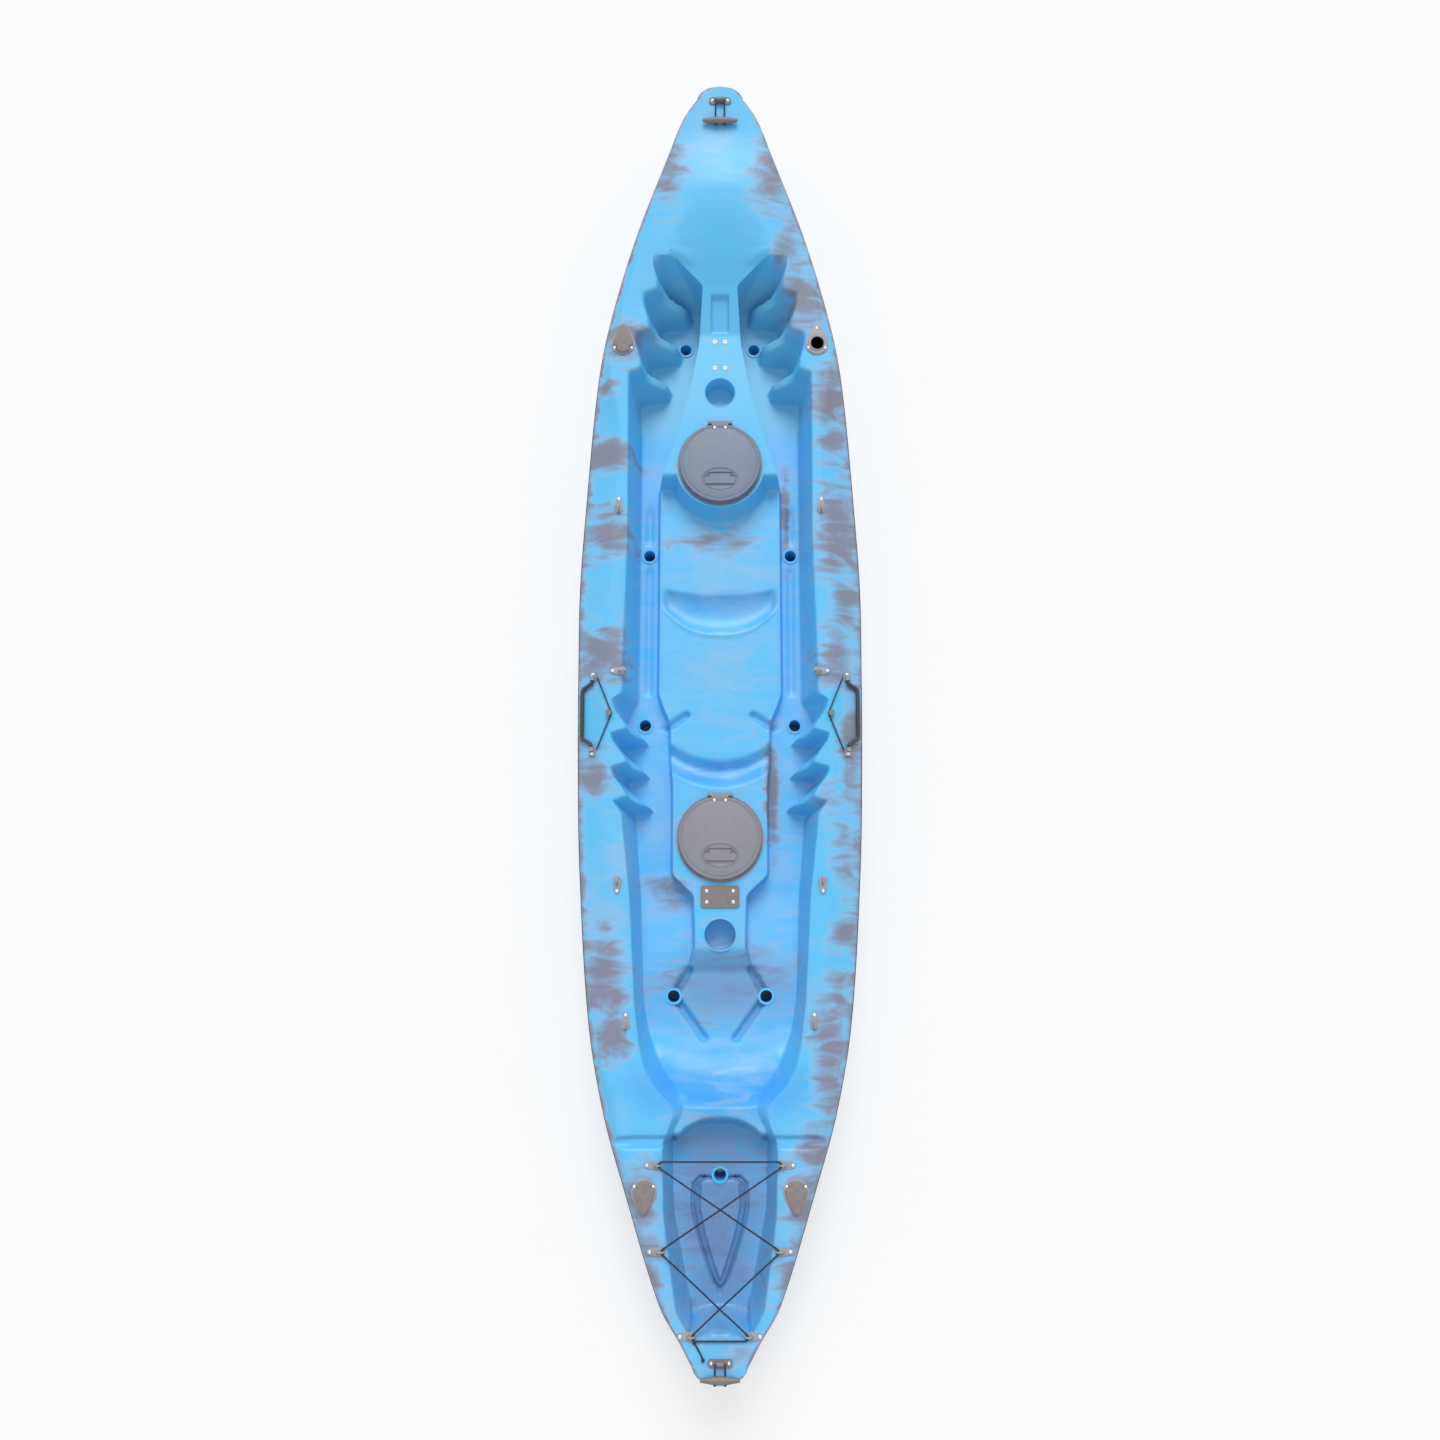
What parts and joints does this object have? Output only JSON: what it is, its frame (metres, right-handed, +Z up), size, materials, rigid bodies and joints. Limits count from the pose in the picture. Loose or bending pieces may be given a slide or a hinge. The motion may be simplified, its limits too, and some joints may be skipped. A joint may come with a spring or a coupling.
{
  "type": "tandem kayak",
  "caption": "Long sit-on-top kayak with a marbled deck moulding, moulded seats and footwells, round hatches, cup holders, rod holders, carry handles and a laced tank well.",
  "frame": {"origin": "on the ground under the middle of the boat, at the flat of its keel", "axes": "+X to starboard, +Y to the bow, +Z up"},
  "size_m": [0.8598, 3.86, 0.4092],
  "materials": {
    "moulding": "rotomoulded, satin, marbled with grey",
    "steel": "bright",
    "gasket": "matte",
    "cord": "woven sheath",
    "insert_brass": "machined",
    "front_hatch_grey": "fine grain",
    "middle_hatch_grey": "fine grain",
    "cap_grey": "matte",
    "holder_black": "satin",
    "fitting_black": "satin",
    "fitting_grey": "satin"
  },
  "bodies": {
    "boat": {"hull_shell": "moulding", "deck_shell": "moulding", "scupper_tubes": "moulding", "front_rim": "front_hatch_grey", "front_seal": "gasket", "front_hinge_pin": "steel", "middle_rim": "middle_hatch_grey", "middle_seal": "gasket", "middle_hinge_pin": "steel", "rod_holder_front_left": "holder_black", "rod_holder_front_right": "holder_black", "rod_holder_rear_left": "holder_black", "rod_holder_rear_right": "holder_black", "rod_screws": "steel", "gear_loops": "fitting_black", "gear_loop_screws": "steel", "lace_loops": "fitting_black", "lace_loop_screws": "steel", "lacing": "cord", "left_handle_anchors": "fitting_black", "left_handle_screws": "steel", "left_handle_hook": "fitting_grey", "left_handle_keeper": "cord", "right_handle_anchors": "fitting_black", "right_handle_screws": "steel", "right_handle_hook": "fitting_grey", "right_handle_keeper": "cord", "bow_saddle": "fitting_grey", "bow_saddle_screws": "steel", "stern_saddle": "fitting_grey", "stern_saddle_screws": "steel", "accessory_inserts": "insert_brass", "accessory_plate": "fitting_grey", "plate_screws": "steel"},
    "front_lid": {"front_lid": "front_hatch_grey", "front_hinge_screws": "steel", "front_latch_pin": "steel"},
    "front_latch": {"front_latch": "front_hatch_grey"},
    "middle_lid": {"middle_lid": "middle_hatch_grey", "middle_hinge_screws": "steel", "middle_latch_pin": "steel"},
    "middle_latch": {"middle_latch": "middle_hatch_grey"},
    "left_handle": {"left_handle_bail": "fitting_grey"},
    "right_handle": {"right_handle_bail": "fitting_grey"},
    "bow_toggle": {"bow_toggle_line": "cord", "bow_toggle_grip": "fitting_grey"},
    "stern_toggle": {"stern_toggle_line": "cord", "stern_toggle_grip": "fitting_grey"},
    "front_left_cap": {"rod_cap_front_left": "cap_grey"},
    "rear_left_cap": {"rod_cap_rear_left": "cap_grey"},
    "rear_right_cap": {"rod_cap_rear_right": "cap_grey"}
  },
  "joints": [
    {"name": "front_lid_hinge", "type": "hinge", "parent": "boat", "child": "front_lid", "pos_m": [0, 0.861, 0.273], "axis": [-1, 0, 0], "range_deg": [0, 105]},
    {"name": "front_latch_flip", "type": "hinge", "parent": "front_lid", "child": "front_latch", "pos_m": [0, 0.69, 0.2745], "axis": [-1, 0, 0], "range_deg": [0, 65]},
    {"name": "middle_lid_hinge", "type": "hinge", "parent": "boat", "child": "middle_lid", "pos_m": [0, -0.299, 0.21], "axis": [-1, 0, 0], "range_deg": [0, 105]},
    {"name": "middle_latch_flip", "type": "hinge", "parent": "middle_lid", "child": "middle_latch", "pos_m": [0, -0.47, 0.2115], "axis": [-1, 0, 0], "range_deg": [0, 65]},
    {"name": "right_handle_swing", "type": "hinge", "parent": "boat", "child": "right_handle", "pos_m": [0.38633, -0.06203, 0.2818], "axis": [-0.0011, -1, -0.0029], "range_deg": [0, 110]},
    {"name": "left_handle_swing", "type": "hinge", "parent": "boat", "child": "left_handle", "pos_m": [-0.38633, -0.06203, 0.2818], "axis": [-0.0011, 1, 0.0029], "range_deg": [0, 110]},
    {"name": "bow_toggle_swing", "type": "hinge", "parent": "boat", "child": "bow_toggle", "pos_m": [0, 1.88157, 0.40218], "axis": [-1, 0, 0], "range_deg": [0, 150]},
    {"name": "stern_toggle_swing", "type": "hinge", "parent": "boat", "child": "stern_toggle", "pos_m": [0, -1.87225, 0.35427], "axis": [-1, 0, 0], "range_deg": [0, 150]},
    {"name": "front_left_cap_lift", "type": "slide", "parent": "boat", "child": "front_left_cap", "axis": [0, -0.0598, 0.9982], "range_m": [0, 0.06]},
    {"name": "rear_left_cap_lift", "type": "slide", "parent": "boat", "child": "rear_left_cap", "axis": [0, 0.0444, 0.999], "range_m": [0, 0.06]},
    {"name": "rear_right_cap_lift", "type": "slide", "parent": "boat", "child": "rear_right_cap", "axis": [0, 0.0444, 0.999], "range_m": [0, 0.06]}
  ]
}
